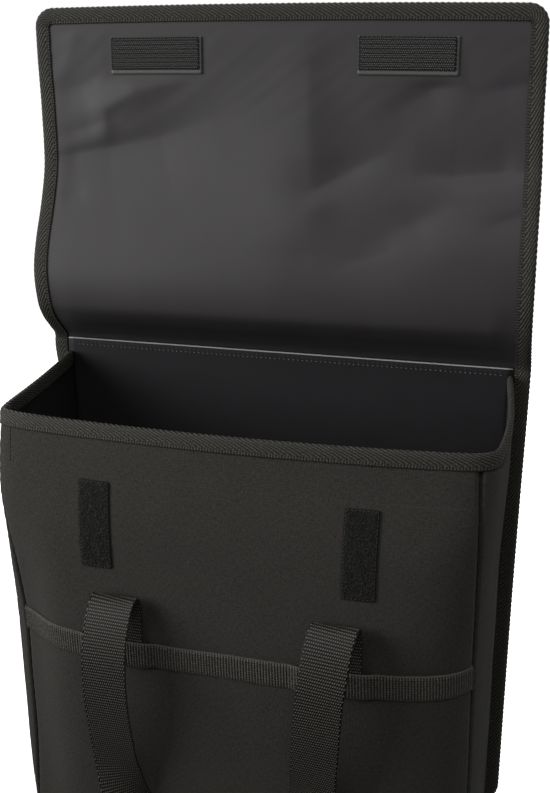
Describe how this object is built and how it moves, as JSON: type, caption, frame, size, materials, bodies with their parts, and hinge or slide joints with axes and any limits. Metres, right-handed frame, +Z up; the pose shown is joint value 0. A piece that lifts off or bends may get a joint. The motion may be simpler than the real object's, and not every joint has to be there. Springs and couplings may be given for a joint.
{
  "type": "bicycle pannier",
  "caption": "Upright cloth bicycle bag with an open mouth, a tall flap folded up, a webbing carrying handle on the front and rack hooks on the back.",
  "frame": {"origin": "middle of the width on the underside of the base, level with the floor, 65 mm in front of the liner of the back", "axes": "+Z up to the edge of the raised flap, +Y to the back with the rack hooks, -Y to the front with the handle, +X to the right of a viewer in front"},
  "size_m": [0.378, 0.2074, 0.636],
  "materials": {
    "woven_cloth": "matt plain weave, near black",
    "coated_cloth": "smooth satin coating on the inner face, matt weave outside",
    "liner_sheet": "smooth satin sheet with a light cut edge",
    "binding_tape": "matt twill tape",
    "ribbed_band": "matt cross-ribbed band",
    "webbing": "coarse woven webbing with a slight sheen",
    "loop_pile": "matt looped pile",
    "hook_tape": "stiff tape with a field of small hooks",
    "hook_steel": "satin black coating"
  },
  "bodies": {
    "root": {"back_panel": "woven_cloth", "back_liner": "liner_sheet", "flap": "coated_cloth", "edge_binding": "binding_tape", "front_panel": "woven_cloth", "bottom_panel": "woven_cloth", "mouth_binding": "binding_tape", "front_band": "ribbed_band", "handle": "webbing", "side_left": "woven_cloth", "side_right": "woven_cloth", "loop_patch_left": "loop_pile", "loop_patch_right": "loop_pile", "hook_patch_left": "hook_tape", "hook_patch_right": "hook_tape", "rack_hook_left": "hook_steel", "rack_hook_right": "hook_steel"}
  },
  "joints": []
}
